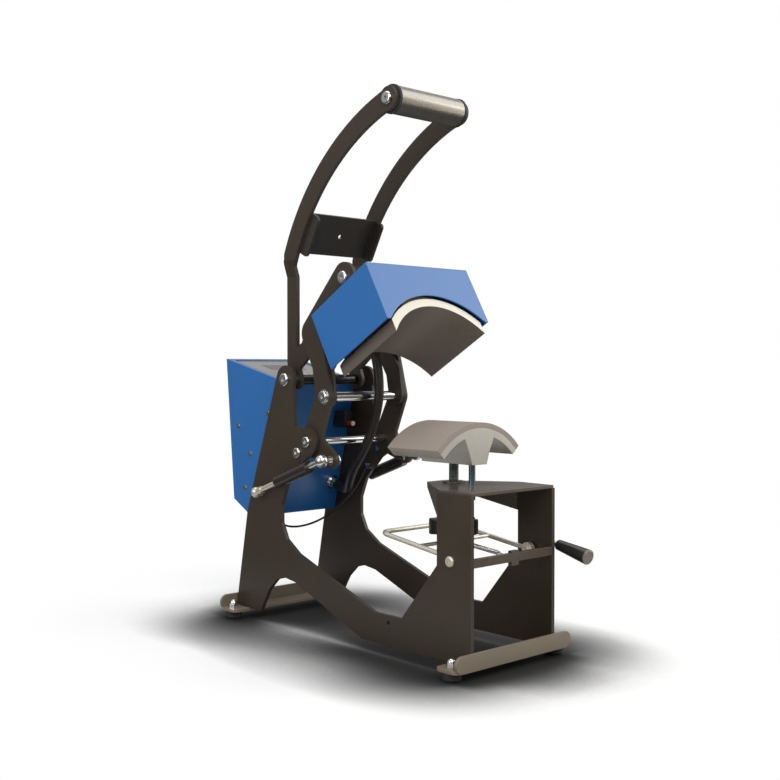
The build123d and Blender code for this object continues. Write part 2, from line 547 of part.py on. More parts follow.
outer = Pos(0, HOOD_D / 2, HOOD_H / 2) * Box(HOOD_W, HOOD_D, HOOD_H)
cavity = Pos(0, HOOD_D / 2, HOOD_H / 2 - HOOD_SHEET) * Box(HOOD_W - 2 * HOOD_SHEET, HOOD_D - 2 * HOOD_SHEET, HOOD_H)
arch_r = PLATEN_R + PLATEN_T + ARCH_GAP
arch = Pos(0, 2 * HOOD_D, platen_centre) * extrude(Plane.XZ * Circle(arch_r), 4 * HOOD_D)
hood = outer - cavity - arch
SLOT_LOW = 58.0
for side, s in SIDES:
    slot = Pos(s * (SLOT_IN + SLOT_OUT) / 2, SLOT_FROM + 100.0, SLOT_LOW + 50.0) * Box(SLOT_OUT - SLOT_IN, 200.0, 100.0)
    hood = hood - slot
save("hood", place_head(hood))
cut = Pos(0, 2.0 - platen_centre) * Rectangle(2 * PLATEN_HALF, 2 * 200.0)
platen_face = (Circle(PLATEN_R + PLATEN_T) - Circle(PLATEN_R)) & (Pos(0, 100) * Rectangle(2 * PLATEN_HALF, 200))
platen_face = platen_face & (Pos(0, 60 + 150) * Rectangle(400, 300))
PLATEN_Y = (HOOD_D - PLATEN_D) / 2 - 1.0
save("heat_platen", place_head(curved(platen_face, PLATEN_Y, PLATEN_D, platen_centre)))
HEATER_T = 2.0
heater_face = sector(PLATEN_R + PLATEN_T, PLATEN_R + PLATEN_T + HEATER_T, 40.0)
save("heater_mat", place_head(curved(heater_face, PLATEN_Y + 6.0, PLATEN_D - 12.0, platen_centre)))
# saddle: two ribs on the platen's back, a cross beam and the two ears that hang on the head bolts
EAR_T = 5.0
ear_out = ARM_IN - SIDE_GAP
rib_top = 52.0
saddle = None
for e in (-1, 1):
    foot = poly((30.0, platen_centre + PLATEN_R + PLATEN_T - 26.0), (HEAD_DROP[0] + 38.0, platen_centre
                + PLATEN_R + PLATEN_T - 26.0), (HEAD_DROP[0] + 38.0, rib_top), (30.0, rib_top))
    ear_face = foot + bar((HEAD_DROP[0], rib_top), 16.0, HEAD_DROP, 14.0) - disc(HEAD_DROP, HEAD_BOLT_R + FIT)
    piece = slab(ear_face, e * (ear_out - EAR_T), e * ear_out)
    saddle = piece if saddle is None else saddle + piece
beam = Pos(0, HEAD_DROP[0], rib_top + 3.0) * Box(2 * (ear_out - EAR_T), 26.0, 6.0)
saddle = saddle + beam
saddle = saddle - curved(Circle(PLATEN_R + PLATEN_T + HEATER_T + 0.2), 0, 200, platen_centre)
hangers = None
for e in (-1, 1):
    post = Pos(e * 25.0, HEAD_DROP[0], (rib_top + platen_centre + PLATEN_R + PLATEN_T) / 2) * Cylinder(4.0, 60.0)
    post = post - curved(Circle(PLATEN_R + PLATEN_T + HEATER_T), 0, 200, platen_centre)
    post = post & (Pos(0, HEAD_DROP[0], rib_top / 2) * Box(200, 200, rib_top))
    saddle = saddle + post
save("head_saddle", place_head(saddle))
INSUL_T = 6.0
INSUL_GAP = 0.3
insul_in = PLATEN_R + PLATEN_T + HEATER_T + INSUL_GAP
insul_face = sector(insul_in, insul_in + INSUL_T, 22.0)
insul = curved(insul_face, PLATEN_Y + 8.0, PLATEN_D - 16.0, platen_centre)
for e in (-1, 1):
    insul = insul - Pos(e * 25.0, HEAD_DROP[0], 40.0) * Cylinder(4.0, 60.0)
save("insulation", place_head(insul))

# ---------------------------------------------------------------- control box
BOX_PTS = [(405.0, 368.0), (457.0, 159.0), (490.0, 161.0), (527.0, 180.0), (547.0, 401.0)]
RIM = 9.0


def grown(points, by):
    """The outline drawn in from its edges by the sheet's thickness."""
    return offset(poly(*points), -by, kind=Kind.INTERSECTION)


half_box = BOX_W / 2
case = slab(poly(*BOX_PTS), -half_box, half_box)
case = case - slab(grown(BOX_PTS, BOX_SHEET), -half_box + BOX_SHEET, half_box - BOX_SHEET)
top_run = (BOX_PTS[4][0] - BOX_PTS[0][0], BOX_PTS[4][1] - BOX_PTS[0][1])
top_len = hypot(*top_run)
top_lean = degrees(atan2(top_run[1], top_run[0]))
top_mid = ((BOX_PTS[0][0] + BOX_PTS[4][0]) / 2, (BOX_PTS[0][1] + BOX_PTS[4][1]) / 2)


def on_top(shape):
    """Place a piece modelled on the XY plane onto the box's slanting top, its Z 0 on the outer face."""
    return Pos(0, *top_mid) * Rot(top_lean, 0, 0) * shape


window = Box(BOX_W - 2 * RIM, top_len - 2 * RIM, 8)
case = case - on_top(window)
GLAND_X = 58.0
GLAND_Z = 204.0
front_lean = degrees(atan2(BOX_PTS[1][0] - BOX_PTS[0][0], BOX_PTS[0][1] - BOX_PTS[1][1]))


def front_y(z):
    """Where the box's front face is at height z."""
    t = (BOX_PTS[0][1] - z) / (BOX_PTS[0][1] - BOX_PTS[1][1])
    return BOX_PTS[0][0] + t * (BOX_PTS[1][0] - BOX_PTS[0][0])


save("control_box", case)
PANEL_T = 2.0
panel = Box(BOX_W - 2 * BOX_SHEET - 1.0, top_len - 9.0, PANEL_T)
panel = Pos(0, 0, -BOX_SHEET - PANEL_T / 2) * panel
BUTTON_R = 6.0
BUTTON_GAP = 0.3
BUTTON_Y = -36.0
BUTTON_XS = (-36.0, 0.0, 36.0)
DISPLAY = (70.0, 34.0)
for bx in BUTTON_XS:
    panel = panel - Pos(bx, BUTTON_Y, 0) * Cylinder(BUTTON_R + BUTTON_GAP, 20)
panel = panel - Pos(0, 18.0, 0) * Box(*DISPLAY, 20)
save("control_panel", on_top(panel))
save("display_window", on_top(Pos(0, 18.0, -BOX_SHEET - PANEL_T / 2) * Box(*DISPLAY, PANEL_T)))
for i, bx in enumerate(BUTTON_XS):
    cap = Pos(bx, BUTTON_Y, -BOX_SHEET - 0.5) * Cylinder(BUTTON_R, 6.0)
    cap = fillet(cap.edges().group_by(Axis.Z)[-1], 1.0)
    save(f"button_{i + 1}", on_top(cap))
BOARD_DROP = 14.0
board = Pos(0, 0, -BOX_SHEET - PANEL_T - BOARD_DROP) * Box(110.0, 100.0, 1.6)
relay = Pos(20.0, -20.0, -BOX_SHEET - PANEL_T - BOARD_DROP - 0.8 - 9.0) * Box(44.0, 32.0, 18.0)
for px in (-50.0, 50.0):
    for py in (-44.0, 44.0):
        board = board + Pos(px, py, -BOX_SHEET - PANEL_T - BOARD_DROP / 2) * Cylinder(3.0, BOARD_DROP)
save("controller_board", on_top(board), on_top(relay))
screws = []
for y, z in ((515.0, 295.0), (483.0, 253.0), (497.0, 199.0), (436.0, 317.0)):
    for side, s in SIDES:
        screws.append(dome((y, z), 4.0, 1.0, s * half_box, s))
save("box_screws", *screws)
# rear wall: power inlet and rocker switch
rear_lean = degrees(atan2(BOX_PTS[4][0] - BOX_PTS[3][0], BOX_PTS[4][1] - BOX_PTS[3][1]))


def on_rear(x, z, shape):
    """Place a piece modelled on the XZ plane, facing +Y, onto the box's rear wall at height z."""
    t = (z - BOX_PTS[3][1]) / (BOX_PTS[4][1] - BOX_PTS[3][1])
    y = BOX_PTS[3][0] + t * (BOX_PTS[4][0] - BOX_PTS[3][0])
    return Pos(x, y, z) * Rot(-rear_lean, 0, 0) * shape


MODULE = (62.0, 3.0, 26.0)
SOCKET_SIZE = (25.0, 18.0)
ROCKER = (19.0, 14.0)
module = Pos(0, MODULE[1] / 2, 0) * Box(*MODULE)
module = module - Pos(-14.0, 2.0, 0) * Box(SOCKET_SIZE[0], 3.0, SOCKET_SIZE[1])
for px, pz in ((-21.0, -1.5), (-14.0, 2.5), (-7.0, -1.5)):
    module = module + Pos(px, 1.4, pz) * Box(2.0, 2.0, 5.0)
module = module - Pos(17.0, 2.0, 0) * Box(ROCKER[0] + 0.6, 3.0, ROCKER[1] + 0.6)
save("power_inlet", on_rear(0, 225.0, module))
ROCKER_OUT = 2.6         # middle of the rocker, out from the wall
rocker = Pos(0, ROCKER_OUT, 0) * (Box(ROCKER[0], 2.6, ROCKER[1]) + Cylinder(1.9, ROCKER[1]))
save("power_rocker", on_rear(17.0, 225.0, rocker))

# ---------------------------------------------------------------- cable fittings, limit switch and cords
GLAND_LONG = 14.0
GLAND_RS = (11.0, 8.5)
HOSE_R = 7.0
front_n = (-cos(radians(front_lean)), -sin(radians(front_lean)))
gland_at = Vector(GLAND_X, front_y(GLAND_Z), GLAND_Z)
gland_plane = Plane(origin=gland_at, z_dir=Vector(0, *front_n))
flange = gland_plane * Pos(0, 0, 2.0) * Cylinder(GLAND_RS[0], 4.0)
barrel = gland_plane * Pos(0, 0, GLAND_LONG / 2) * Cylinder(GLAND_RS[1], GLAND_LONG)
hose_end = gland_at + Vector(0, *front_n) * GLAND_LONG
CLIP_AT = (74.0, 368.0, 234.0)
CABLE_R = 1.6
clip = Pos(PLATE_IN - 4.0, CLIP_AT[1], CLIP_AT[2]) * Box(8.0, 10.0, 8.0)
save("cable_fittings", flange + barrel, clip)
COVER = (46.0, 24.0, 30.0)
COVER_X = 12.0
COVER_UP = 56.0
cover = Pos(COVER_X, HOOD_D + COVER[1] / 2, COVER_UP + COVER[2] / 2) * Box(*COVER)
cover = fillet(cover.edges().filter_by(Axis.Z), 3.0)
save("terminal_cover", place_head(cover))


def head_point(x, y, z):
    """World position of a point given from the hood's front bottom edge."""
    y1, z1 = turned((y, z), HEAD_DROP, -HEAD_TILT)
    return Vector(x, HEAD_PIVOT[0] + y1 - HEAD_DROP[0], HEAD_PIVOT[1] + z1 - HEAD_DROP[1])


def cord_tube(points, r, label):
    """A tube of straight runs joined by tangent arcs, each as large as its two runs allow."""
    pts = [Vector(*p) for p in points]
    radii = []
    for a, b, c in zip(pts, pts[1:], pts[2:]):
        turn = radians((b - a).get_angle(c - b))
        radii.append(0.45 * min((b - a).length, (c - b).length) / tan(turn / 2))
    print(label, "bend radii in diameters:", [round(q / (2 * r), 1) for q in radii])
    path = FilletPolyline(*pts, radius=radii)
    tube = sweep(Plane(origin=path @ 0, z_dir=path % 0) * Circle(r), path=path)
    print(label, "length", round(path.length, 1), "volume ratio", round(tube.volume / (pi * r * r * path.length), 4))
    return tube


hose_start = head_point(COVER_X, HOOD_D + 14.0, COVER_UP - 0.3)
HOSE = [tuple(hose_start), tuple(hose_start + Vector(0.0, -0.5, -0.866) * 27.0), (12.0, 276.5, 349.0), (12.5, 290.0, 303.0),
        (13.5, 311.0, 268.0), (20.0, 345.0, 236.0), (33.0, 371.0, 213.0), (47.0, 391.0, 197.0), tuple(hose_end + Vector(0, *front_n) * 23.0),
        tuple(hose_end)]
save("heater_hose", cord_tube(HOSE, HOSE_R, "heater hose"))
CABLE_IN_Z = 159.0 + (484.0 - 457.0) * 2.0 / 33.0 - 0.25
CABLE = [(PLATE_IN - 8.0 - CABLE_R, CLIP_AT[1], CLIP_AT[2]), (58.0, 372.0, 214.0), (44.0, 384.0, 186.0), (28.0, 406.0, 160.0),
         (10.0, 432.0, 142.0), (-8.0, 460.0, 134.0), (-22.0, 478.0, 140.0), (-28.0, 484.0, CABLE_IN_Z)]
save("sensor_cable", cord_tube(CABLE, CABLE_R, "sensor cable"))
SWITCH = (16.0, 24.0, 26.0)
SWITCH_X = 50.0
SWITCH_Z = 306.0
switch_y = front_y(SWITCH_Z + SWITCH[2] / 2) - SWITCH[1] / 2
body = Pos(SWITCH_X, switch_y, SWITCH_Z) * Box(*SWITCH)
body = body + Pos(SWITCH_X, switch_y + SWITCH[1] / 2, SWITCH_Z - 3.0) * Box(SWITCH[0], 12.0, SWITCH[2] - 8.0)
body = body - slab(poly(*BOX_PTS), -half_box, half_box)
PLUNGER_R = 3.5
PLUNGER_OUT = 12.0
bore_y = switch_y - SWITCH[1] / 2
body = body - Pos(SWITCH_X, bore_y, SWITCH_Z - 6.0) * Rot(90, 0, 0) * Cylinder(PLUNGER_R + FIT, 20.0)
save("limit_switch", body)
plunger = Pos(SWITCH_X, bore_y - PLUNGER_OUT / 2 + 2.5, SWITCH_Z - 6.0) * Rot(90, 0, 0) * Cylinder(PLUNGER_R, PLUNGER_OUT + 5.0)
save("limit_plunger", plunger)
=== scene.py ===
import bpy
import math
import numpy as np
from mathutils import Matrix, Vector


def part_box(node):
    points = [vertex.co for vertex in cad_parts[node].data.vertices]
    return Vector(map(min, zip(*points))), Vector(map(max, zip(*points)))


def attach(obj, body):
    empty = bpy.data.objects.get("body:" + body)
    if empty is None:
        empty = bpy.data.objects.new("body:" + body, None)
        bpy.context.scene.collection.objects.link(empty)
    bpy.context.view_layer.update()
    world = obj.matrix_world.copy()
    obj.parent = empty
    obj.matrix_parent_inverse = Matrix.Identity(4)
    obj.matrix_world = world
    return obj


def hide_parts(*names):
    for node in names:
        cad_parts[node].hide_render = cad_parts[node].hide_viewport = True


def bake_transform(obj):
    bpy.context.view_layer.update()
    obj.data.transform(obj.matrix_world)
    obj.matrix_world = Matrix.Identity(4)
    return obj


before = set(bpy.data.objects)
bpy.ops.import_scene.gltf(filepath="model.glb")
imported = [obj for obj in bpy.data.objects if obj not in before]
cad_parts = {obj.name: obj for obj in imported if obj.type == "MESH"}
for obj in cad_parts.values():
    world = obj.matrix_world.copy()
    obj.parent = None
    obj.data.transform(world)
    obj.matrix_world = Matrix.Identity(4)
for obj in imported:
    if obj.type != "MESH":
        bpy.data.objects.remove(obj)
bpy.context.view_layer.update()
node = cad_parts

# ---------------------------------------------------------------- camera, lights and floor
# A small studio: a pale floor and white surround, a key lamp over the operator's left shoulder, broad
# lamps at the left, at the right and above, and a high one at the right for the sheen on the hood's front.
camera = bpy.data.cameras.new("camera")
camera.sensor_width = 36.0
camera.lens = 51.404
camera_object = bpy.data.objects.new("camera", camera)
camera_object.location = (-1.0775, -1.19127, 0.38703)
camera_object.rotation_euler = (math.radians(90.0 - 1.15469), 0.0, math.radians(-42.3427))
bpy.context.scene.collection.objects.link(camera_object)
bpy.context.scene.camera = camera_object
bpy.context.scene.view_settings.view_transform = "Standard"


def lamp(name, place, target, size, power, colour=(1.0, 1.0, 1.0)):
    """A square area lamp at place that faces target."""
    light = bpy.data.lights.new(name, "AREA")
    light.shape = "RECTANGLE"
    light.size, light.size_y = size
    light.energy = power
    light.color = colour
    holder = bpy.data.objects.new(name, light)
    holder.location = place
    aim = np.array(target, float) - np.array(place, float)
    yaw = math.atan2(-aim[0], aim[1])
    pitch = math.atan2(aim[2], math.hypot(aim[0], aim[1]))
    holder.rotation_euler = (math.radians(90.0) + pitch, 0.0, yaw)
    bpy.context.scene.collection.objects.link(holder)
    return holder


lamp("key_lamp", (-0.9, -1.9, 1.9), (0.0, -0.1, 0.35), (1.4, 1.4), 26.0, (1.0, 0.97, 0.93))
lamp("left_lamp", (-2.2, 0.3, 1.1), (0.0, 0.0, 0.4), (1.2, 1.6), 16.0)
lamp("right_lamp", (1.9, -1.2, 0.9), (0.0, -0.1, 0.35), (0.9, 1.6), 14.0, (1.0, 0.96, 0.9))
lamp("top_lamp", (0.1, 0.3, 2.4), (0.0, 0.0, 0.4), (1.6, 1.6), 22.0)
lamp("sheen_lamp", (1.5, -0.9, 1.95), (0.0, -0.15, 0.5), (1.3, 1.3), 8.0)


world = bpy.data.worlds.new("surround")
bpy.context.scene.world = world
world.use_nodes = True
wt = world.node_tree
wt.nodes.clear()
seen = wt.nodes.new("ShaderNodeLightPath")
both = wt.nodes.new("ShaderNodeMath")
both.operation = "MAXIMUM"
wt.links.new(seen.outputs["Is Camera Ray"], both.inputs[0])
wt.links.new(seen.outputs["Is Transmission Ray"], both.inputs[1])
# the room that lights and mirrors see: dim and warm below the horizon, a darker wall, bright overhead
soft = wt.nodes.new("ShaderNodeBackground")
soft.inputs["Strength"].default_value = 0.5
height = wt.nodes.new("ShaderNodeSeparateXYZ")
room = wt.nodes.new("ShaderNodeValToRGB")
room.color_ramp.elements[0].position = 0.30
room.color_ramp.elements[0].color = (0.10, 0.09, 0.08, 1.0)
room.color_ramp.elements[1].position = 0.46
room.color_ramp.elements[1].color = (0.16, 0.155, 0.15, 1.0)
room.color_ramp.elements.new(0.54).color = (0.45, 0.45, 0.46, 1.0)
room.color_ramp.elements.new(0.72).color = (0.95, 0.97, 1.0, 1.0)
room.color_ramp.elements.new(1.0).color = (1.0, 1.0, 1.0, 1.0)
raise_it = wt.nodes.new("ShaderNodeMapRange")
raise_it.inputs["From Min"].default_value = -1.0
wt.links.new(wt.nodes.new("ShaderNodeTexCoord").outputs["Generated"], height.inputs[0])
wt.links.new(height.outputs["Z"], raise_it.inputs["Value"])
wt.links.new(raise_it.outputs["Result"], room.inputs[0])
wt.links.new(room.outputs[0], soft.inputs["Color"])
white = wt.nodes.new("ShaderNodeBackground")
white.inputs["Color"].default_value = (1.0, 1.0, 1.0, 1.0)
white.inputs["Strength"].default_value = 1.0
blend_world = wt.nodes.new("ShaderNodeMixShader")
world_out = wt.nodes.new("ShaderNodeOutputWorld")
wt.links.new(both.outputs[0], blend_world.inputs[0])
wt.links.new(soft.outputs[0], blend_world.inputs[1])
wt.links.new(white.outputs[0], blend_world.inputs[2])
wt.links.new(blend_world.outputs[0], world_out.inputs[0])

# the floor: a large pale disc, each ring a circle of SPOKES points, with a painted contact shadow close
# under the press; its shade fades to white far from the press
SPOKES = 96
ring = np.linspace(0.0, 2.0 * np.pi, SPOKES + 1)[:-1]
radius = np.array([0.0, 0.4, 0.8, 1.6, 4.0, 12.0])
r_grid, a_grid = np.meshgrid(radius[1:], ring, indexing="ij")
rings = np.stack([r_grid * np.cos(a_grid), r_grid * np.sin(a_grid), 0 * r_grid], -1)
floor_points = np.vstack([[[0.0, 0.0, 0.0]], rings.reshape(-1, 3)])
rows, cols = np.meshgrid(np.arange(len(radius) - 2), np.arange(SPOKES), indexing="ij")
a = 1 + rows * SPOKES + cols
b = 1 + rows * SPOKES + (cols + 1) % SPOKES
floor_faces = np.stack([a, a + SPOKES, b + SPOKES, b], -1).reshape(-1, 4).tolist()
floor_faces += [(0, 1 + k, 1 + (k + 1) % SPOKES) for k in range(SPOKES)]
floor_mesh = bpy.data.meshes.new("floor")
floor_mesh.from_pydata(floor_points.tolist(), [], floor_faces)
floor = bpy.data.objects.new("floor", floor_mesh)
bpy.context.scene.collection.objects.link(floor)
floor_paint = bpy.data.materials.new("floor_card")
floor_paint.use_nodes = True
ft = floor_paint.node_tree
card = ft.nodes["Principled BSDF"]
card.inputs["Base Color"].default_value = (0.9, 0.9, 0.9, 1.0)
card.inputs["Roughness"].default_value = 0.75
# painted shadow: ambient occlusion, raised to a high power, darkens the card's colour to near black where the
# press stands close over it
painted_shadow_ao = ft.nodes.new("ShaderNodeAmbientOcclusion")
painted_shadow_ao.samples = 48
painted_shadow_ao.inputs["Distance"].default_value = 0.19
painted_shadow_depth = ft.nodes.new("ShaderNodeMath")
painted_shadow_depth.operation = "POWER"
painted_shadow_depth.inputs[1].default_value = 13.0
shade = ft.nodes.new("ShaderNodeMix")
shade.data_type = "RGBA"
shade.inputs[6].default_value = (0.004, 0.004, 0.004, 1.0)
shade.inputs[7].default_value = (0.9, 0.9, 0.9, 1.0)
ft.links.new(painted_shadow_ao.outputs["AO"], painted_shadow_depth.inputs[0])
ft.links.new(painted_shadow_depth.outputs[0], shade.inputs[0])
ft.links.new(shade.outputs[2], card.inputs["Base Color"])
glow = ft.nodes.new("ShaderNodeEmission")
spot = ft.nodes.new("ShaderNodeTexCoord")
widen = ft.nodes.new("ShaderNodeVectorMath")
widen.operation = "MULTIPLY"
widen.inputs[1].default_value = (1.5, 0.95, 1.0)
away = ft.nodes.new("ShaderNodeVectorMath")
away.operation = "LENGTH"
fade = ft.nodes.new("ShaderNodeMapRange")
fade.interpolation_type = "SMOOTHSTEP"
fade.inputs["From Min"].default_value = 0.34
fade.inputs["From Max"].default_value = 0.72
path = ft.nodes.new("ShaderNodeLightPath")
top_of = ft.nodes.new("ShaderNodeMath")
top_of.operation = "MAXIMUM"
gate = ft.nodes.new("ShaderNodeMath")
gate.operation = "MULTIPLY"
mix = ft.nodes.new("ShaderNodeMixShader")
ft.links.new(spot.outputs["Object"], widen.inputs[0])
ft.links.new(widen.outputs[0], away.inputs[0])
ft.links.new(away.outputs["Value"], fade.inputs["Value"])
# mirrors see a dim floor out there, so plated steel keeps a dark lower half
dim = ft.nodes.new("ShaderNodeMapRange")
dim.inputs["To Min"].default_value = 0.10
dim.inputs["To Max"].default_value = 1.0
ft.links.new(path.outputs["Is Camera Ray"], dim.inputs["Value"])
ft.links.new(dim.outputs["Result"], glow.inputs["Strength"])
ft.links.new(path.outputs["Is Camera Ray"], top_of.inputs[0])
ft.links.new(path.outputs["Is Glossy Ray"], top_of.inputs[1])
ft.links.new(fade.outputs["Result"], gate.inputs[0])
ft.links.new(top_of.outputs[0], gate.inputs[1])
ft.links.new(gate.outputs[0], mix.inputs[0])
ft.links.new(card.outputs[0], mix.inputs[1])
ft.links.new(glow.outputs[0], mix.inputs[2])
ft.links.new(mix.outputs[0], ft.nodes["Material Output"].inputs[0])
floor_mesh.materials.append(floor_paint)

# ---------------------------------------------------------------- heater hose and sensor cable
# The heater's leads run in a black sleeved hose from the head's rear cover to the gland on the box;
# a thin jacketed sensor cable hangs from its clip on the right side plate and enters the box below.
MID = 0.250625       # from the side plates' front edge datum to the frame's origin, along Y


def effect(name, inputs, outputs):
    """An empty shader node group with the given float or colour sockets; returns it with its two ends."""
    group = bpy.data.node_groups.new(name, "ShaderNodeTree")
    for label, kind, value in inputs:
        made = group.interface.new_socket(label, in_out="INPUT", socket_type=kind)
        made.default_value = value
    for label, kind in outputs:
        group.interface.new_socket(label, in_out="OUTPUT", socket_type=kind)
    return group, group.nodes.new("NodeGroupInput"), group.nodes.new("NodeGroupOutput")


def wire(tree, *pairs):
    """Link each (output socket, input socket) pair."""
    for source, target in pairs:
        tree.links.new(source, target)


def maths(tree, operation, *values, clamp=False):
    """A Math node on sockets or numbers; returns its output socket."""
    made = tree.nodes.new("ShaderNodeMath")
    made.operation = operation
    made.use_clamp = clamp
    for k, value in enumerate(values):
        if isinstance(value, (int, float)):
            made.inputs[k].default_value = value
        else:
            tree.links.new(value, made.inputs[k])
    return made.outputs[0]


def noise(tree, vector, scale, detail=3.0, rough=0.55):
    """A Noise texture's value, 0 to 1, on the given vector socket."""
    made = tree.nodes.new("ShaderNodeTexNoise")
    if isinstance(scale, (int, float)):
        made.inputs["Scale"].default_value = scale
    else:
        tree.links.new(scale, made.inputs["Scale"])
    made.inputs["Detail"].default_value = detail
    made.inputs["Roughness"].default_value = rough
    tree.links.new(vector, made.inputs["Vector"])
    return made.outputs["Fac"]


def tint(tree, fac, low, high):
    """A colour between low and high, which are sockets or colours, by fac."""
    made = tree.nodes.new("ShaderNodeMix")
    made.data_type = "RGBA"
    for slot_index, value in ((6, low), (7, high)):
        if isinstance(value, tuple):
            made.inputs[slot_index].default_value = value
        else:
            tree.links.new(value, made.inputs[slot_index])
    if isinstance(fac, (int, float)):
        made.inputs[0].default_value = fac
    else:
        tree.links.new(fac, made.inputs[0])
    return made.outputs[2]


# grain: a fine speckle with slow mottling, for paint, castings, rubber and moulded plastic
grain, g_in, g_out = effect(
    "grain",
    [("Colour", "NodeSocketColor", (0.5, 0.5, 0.5, 1.0)), ("Size", "NodeSocketFloat", 900.0),
     ("Speckle", "NodeSocketFloat", 0.1), ("Mottle", "NodeSocketFloat", 0.1),
     ("Roughness", "NodeSocketFloat", 0.5)],
    [("Colour", "NodeSocketColor"), ("Roughness", "NodeSocketFloat"), ("Height", "NodeSocketFloat")])
where = grain.nodes.new("ShaderNodeTexCoord").outputs["Object"]
fine = noise(grain, where, g_in.outputs["Size"], 2.0)
slow = noise(grain, where, 14.0, 4.0)
dark = maths(grain, "MULTIPLY", maths(grain, "SUBTRACT", fine, 0.5), g_in.outputs["Speckle"])
cloud = maths(grain, "MULTIPLY", maths(grain, "SUBTRACT", slow, 0.5), g_in.outputs["Mottle"])
level = maths(grain, "ADD", 1.0, maths(grain, "ADD", dark, cloud))
scaled = grain.nodes.new("ShaderNodeVectorMath")
scaled.operation = "SCALE"
wire(grain, (g_in.outputs["Colour"], scaled.inputs[0]), (level, scaled.inputs["Scale"]),
     (scaled.outputs[0], g_out.inputs["Colour"]), (fine, g_out.inputs["Height"]),
     (maths(grain, "ADD", g_in.outputs["Roughness"], maths(grain, "MULTIPLY", cloud, 1.2), clamp=True),
      g_out.inputs["Roughness"]))


def finish(name, colour, roughness=0.5, metallic=0.0, size=900.0, speckle=0.1, mottle=0.1, bump=0.0,
           round_edge=0.0, coat=0.0, specular=0.5):
    """A material whose colour, roughness and bump come from the grain effect."""
    made = bpy.data.materials.new(name)
    made.use_nodes = True
    tree = made.node_tree
    shader = tree.nodes["Principled BSDF"]
    effect_node = tree.nodes.new("ShaderNodeGroup")
    effect_node.node_tree = grain
    effect_node.name = "grain"
    for label, value in (("Colour", (*colour, 1.0)), ("Size", size), ("Speckle", speckle), ("Mottle", mottle),
                         ("Roughness", roughness)):
        effect_node.inputs[label].default_value = value
    shader.inputs["Metallic"].default_value = metallic
    shader.inputs["Coat Weight"].default_value = coat
    shader.inputs["Coat Roughness"].default_value = 0.08
    shader.inputs["Specular IOR Level"].default_value = specular
    wire(tree, (effect_node.outputs["Colour"], shader.inputs["Base Color"]),
         (effect_node.outputs["Roughness"], shader.inputs["Roughness"]))
    relief = tree.nodes.new("ShaderNodeBump")
    relief.name = "relief"
    relief.inputs["Strength"].default_value = 0.6 if bump else 0.0
    relief.inputs["Distance"].default_value = bump if bump else 0.00001
    wire(tree, (effect_node.outputs["Height"], relief.inputs["Height"]),
         (relief.outputs[0], shader.inputs["Normal"]))
    if round_edge:
        eased = tree.nodes.new("ShaderNodeBevel")
        eased.samples = 6
        eased.inputs["Radius"].default_value = round_edge
        wire(tree, (eased.outputs[0], relief.inputs["Normal"]))
    return made


def dress(material, *names):
    """Give CAD nodes a material in place of the plain one that they were loaded with."""
    for name in names:
        node[name].data.materials.clear()
        node[name].data.materials.append(material)


def cord_curve(name, points, radius, material):
    """A round cord whose middle line is an order 3 NURBS with the given control points, in metres."""
    curve = bpy.data.curves.new(name, "CURVE")
    curve.dimensions = "3D"
    curve.bevel_depth = radius
    curve.bevel_resolution = 6
    curve.use_fill_caps = True
    curve.resolution_u = 10
    spline = curve.splines.new("NURBS")
    spline.points.add(len(points) - 1)
    flat = np.hstack([np.array(points, float), np.ones((len(points), 1))])
    spline.points.foreach_set("co", flat.ravel())
    spline.order_u = 3
    spline.use_endpoint_u = True
    curve.materials.append(material)
    made = bpy.data.objects.new(name, curve)
    bpy.context.scene.collection.objects.link(made)
    return made


hose_skin = finish("hose_sleeve", (0.018, 0.014, 0.011), 0.42, size=500.0, speckle=0.5, mottle=0.5,
                   bump=0.0002)
ht = hose_skin.node_tree
weave = ht.nodes.new("ShaderNodeTexWave")
weave.wave_type = "BANDS"
weave.bands_direction = "Z"
weave.inputs["Scale"].default_value = 130.0
weave.inputs["Distortion"].default_value = 2.0
wire(ht, (ht.nodes.new("ShaderNodeTexCoord").outputs["Object"], weave.inputs["Vector"]),
     (weave.outputs["Fac"], ht.nodes["relief"].inputs["Height"]))
hose_route = np.array([(0.012, 0.29692, 0.42575), (0.012, 0.28342, 0.40237), (0.012, 0.2765, 0.349),
                       (0.0125, 0.290, 0.303), (0.0135, 0.311, 0.268), (0.020, 0.345, 0.236),
                       (0.033, 0.371, 0.213), (0.047, 0.391, 0.197), (0.058, 0.40990, 0.19507),
                       (0.058, 0.43222, 0.20062)]) - (0.0, MID, 0.0)
hose_guide = cord_curve("hose_guide", hose_route, 0.007, hose_skin)
hose_guide.data.resolution_u = 20
hose_mesh = bpy.data.meshes.new_from_object(hose_guide)
hose_guide.data.bevel_depth = 0.0
hose_line = bpy.data.meshes.new_from_object(hose_guide)
bpy.data.objects.remove(hose_guide)
bpy.data.meshes.remove(hose_line)
hose_mesh.materials.clear()
hose_mesh.materials.append(hose_skin)
heater_hose = bpy.data.objects.new("heater_hose_sleeve", hose_mesh)
bpy.context.scene.collection.objects.link(heater_hose)
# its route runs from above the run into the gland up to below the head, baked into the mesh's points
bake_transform(heater_hose)
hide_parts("heater_hose")

cable_skin = finish("cable_jacket_pvc", (0.02, 0.018, 0.017), 0.38, size=700.0, speckle=0.2, mottle=0.3)
cable_route = np.array([(0.0654, 0.368, 0.234), (0.058, 0.372, 0.214), (0.044, 0.384, 0.186),
                        (0.028, 0.406, 0.160), (0.010, 0.432, 0.142), (-0.008, 0.460, 0.134),
                        (-0.022, 0.478, 0.140), (-0.028, 0.484, 0.160386)]) - (0.0, MID, 0.0)
sensor_cable = cord_curve("sensor_lead", cable_route, 0.0016, cable_skin)
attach(sensor_cable, "frame")
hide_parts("sensor_cable")
